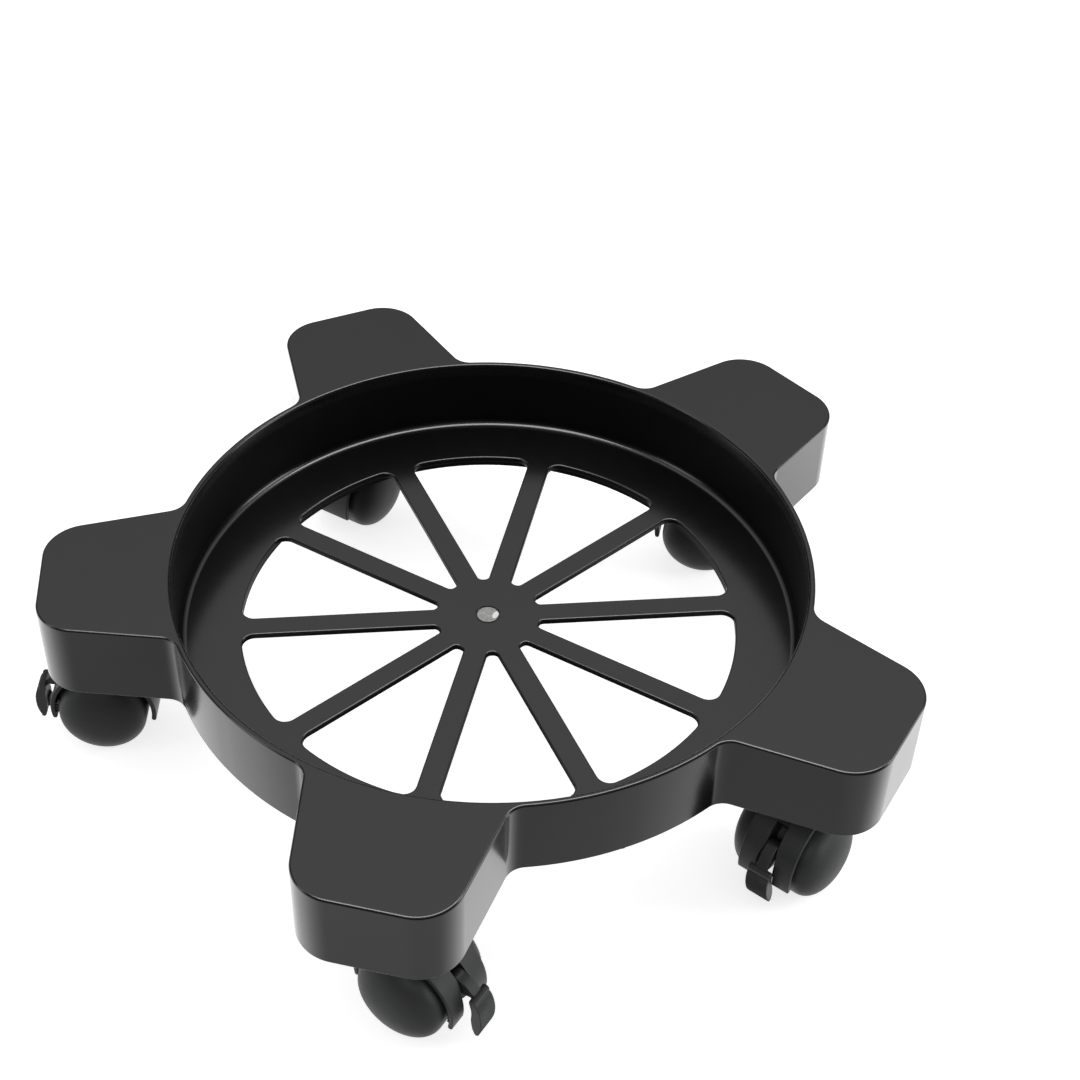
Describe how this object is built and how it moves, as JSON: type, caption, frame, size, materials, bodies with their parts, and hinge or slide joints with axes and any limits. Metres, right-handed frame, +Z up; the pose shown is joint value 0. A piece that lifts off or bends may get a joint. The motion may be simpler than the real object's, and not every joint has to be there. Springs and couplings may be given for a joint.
{
  "type": "plant pot caddy",
  "caption": "Low star-shaped rolling caddy with a round recess and an open spoked floor, on twin-wheel swivel casters with brake levers, for moving a plant pot or pail.",
  "frame": {"origin": "middle of the recess floor, on the top face of the hub, where the pot stands", "axes": "+Z up out of the recess; -X along the arm that holds the left caster; the other arms follow every 72 degrees about Z"},
  "size_m": [0.368, 0.3722, 0.092],
  "materials": {
    "platform": "satin black moulded plastic with a fine grain on the top faces",
    "caster_body": "matte black moulded nylon",
    "wheel": "matte black moulded nylon, slightly smoother on the faces",
    "steel": "zinc-plated steel"
  },
  "bodies": {
    "platform": {"platform": "platform", "left_stem": "steel", "left_grip_ring": "steel", "front_stem": "steel", "front_grip_ring": "steel", "right_stem": "steel", "right_grip_ring": "steel", "back_right_stem": "steel", "back_right_grip_ring": "steel", "back_left_stem": "steel", "back_left_grip_ring": "steel"},
    "left_caster": {"left_hood": "caster_body", "left_axle": "steel", "left_lever_pin": "steel"},
    "left_wheel_a": {"left_wheel_a": "wheel"},
    "left_wheel_b": {"left_wheel_b": "wheel"},
    "left_lever": {"left_brake_lever": "caster_body"},
    "front_caster": {"front_hood": "caster_body", "front_axle": "steel", "front_lever_pin": "steel"},
    "front_wheel_a": {"front_wheel_a": "wheel"},
    "front_wheel_b": {"front_wheel_b": "wheel"},
    "front_lever": {"front_brake_lever": "caster_body"},
    "right_caster": {"right_hood": "caster_body", "right_axle": "steel", "right_lever_pin": "steel"},
    "right_wheel_a": {"right_wheel_a": "wheel"},
    "right_wheel_b": {"right_wheel_b": "wheel"},
    "right_lever": {"right_brake_lever": "caster_body"},
    "back_right_caster": {"back_right_hood": "caster_body", "back_right_axle": "steel"},
    "back_right_wheel_a": {"back_right_wheel_a": "wheel"},
    "back_right_wheel_b": {"back_right_wheel_b": "wheel"},
    "back_left_caster": {"back_left_hood": "caster_body", "back_left_axle": "steel"},
    "back_left_wheel_a": {"back_left_wheel_a": "wheel"},
    "back_left_wheel_b": {"back_left_wheel_b": "wheel"}
  },
  "joints": [
    {"name": "left_swivel", "type": "hinge", "parent": "platform", "child": "left_caster", "pos_m": [-0.1575, 0, -0.0178], "axis": [0, 0, 1], "continuous": true},
    {"name": "left_wheel_a_spin", "type": "hinge", "parent": "left_caster", "child": "left_wheel_a", "pos_m": [-0.16993, 0.00131, -0.0378], "axis": [-0.1045, -0.9945, 0], "continuous": true},
    {"name": "left_wheel_b_spin", "type": "hinge", "parent": "left_caster", "child": "left_wheel_b", "pos_m": [-0.16993, 0.00131, -0.0378], "axis": [-0.1045, -0.9945, 0], "continuous": true},
    {"name": "left_lever_tilt", "type": "hinge", "parent": "left_caster", "child": "left_lever", "pos_m": [-0.18624, 0.00302, -0.0284], "axis": [-0.1045, -0.9945, 0], "range_deg": [0, 16]},
    {"name": "front_swivel", "type": "hinge", "parent": "platform", "child": "front_caster", "pos_m": [-0.04867, -0.14979, -0.0178], "axis": [0, 0, 1], "continuous": true},
    {"name": "front_wheel_a_spin", "type": "hinge", "parent": "front_caster", "child": "front_wheel_a", "pos_m": [-0.03882, -0.15749, -0.0378], "axis": [0.6157, 0.788, 0], "continuous": true},
    {"name": "front_wheel_b_spin", "type": "hinge", "parent": "front_caster", "child": "front_wheel_b", "pos_m": [-0.03882, -0.15749, -0.0378], "axis": [0.6157, 0.788, 0], "continuous": true},
    {"name": "front_lever_tilt", "type": "hinge", "parent": "front_caster", "child": "front_lever", "pos_m": [-0.0259, -0.16758, -0.0284], "axis": [0.6157, 0.788, 0], "range_deg": [0, 16]},
    {"name": "right_swivel", "type": "hinge", "parent": "platform", "child": "right_caster", "pos_m": [0.12742, -0.09258, -0.0178], "axis": [0, 0, 1], "continuous": true},
    {"name": "right_wheel_a_spin", "type": "hinge", "parent": "right_caster", "child": "right_wheel_a", "pos_m": [0.11891, -0.10173, -0.0378], "axis": [0.7325, -0.6807, 0], "continuous": true},
    {"name": "right_wheel_b_spin", "type": "hinge", "parent": "right_caster", "child": "right_wheel_b", "pos_m": [0.11891, -0.10173, -0.0378], "axis": [0.7325, -0.6807, 0], "continuous": true},
    {"name": "right_lever_tilt", "type": "hinge", "parent": "right_caster", "child": "right_lever", "pos_m": [0.10775, -0.11375, -0.0284], "axis": [0.7325, -0.6807, 0], "range_deg": [-16, 0]},
    {"name": "back_right_swivel", "type": "hinge", "parent": "platform", "child": "back_right_caster", "pos_m": [0.12742, 0.09258, -0.0178], "axis": [0, 0, 1], "continuous": true},
    {"name": "back_right_wheel_a_spin", "type": "hinge", "parent": "back_right_caster", "child": "back_right_wheel_a", "pos_m": [0.11551, 0.09638, -0.0378], "axis": [-0.304, -0.9527, 0], "continuous": true},
    {"name": "back_right_wheel_b_spin", "type": "hinge", "parent": "back_right_caster", "child": "back_right_wheel_b", "pos_m": [0.11551, 0.09638, -0.0378], "axis": [-0.304, -0.9527, 0], "continuous": true},
    {"name": "back_left_swivel", "type": "hinge", "parent": "platform", "child": "back_left_caster", "pos_m": [-0.04867, 0.14979, -0.0178], "axis": [0, 0, 1], "continuous": true},
    {"name": "back_left_wheel_a_spin", "type": "hinge", "parent": "back_left_caster", "child": "back_left_wheel_a", "pos_m": [-0.05614, 0.13977, -0.0378], "axis": [0.8018, -0.5976, 0], "continuous": true},
    {"name": "back_left_wheel_b_spin", "type": "hinge", "parent": "back_left_caster", "child": "back_left_wheel_b", "pos_m": [-0.05614, 0.13977, -0.0378], "axis": [0.8018, -0.5976, 0], "continuous": true}
  ]
}
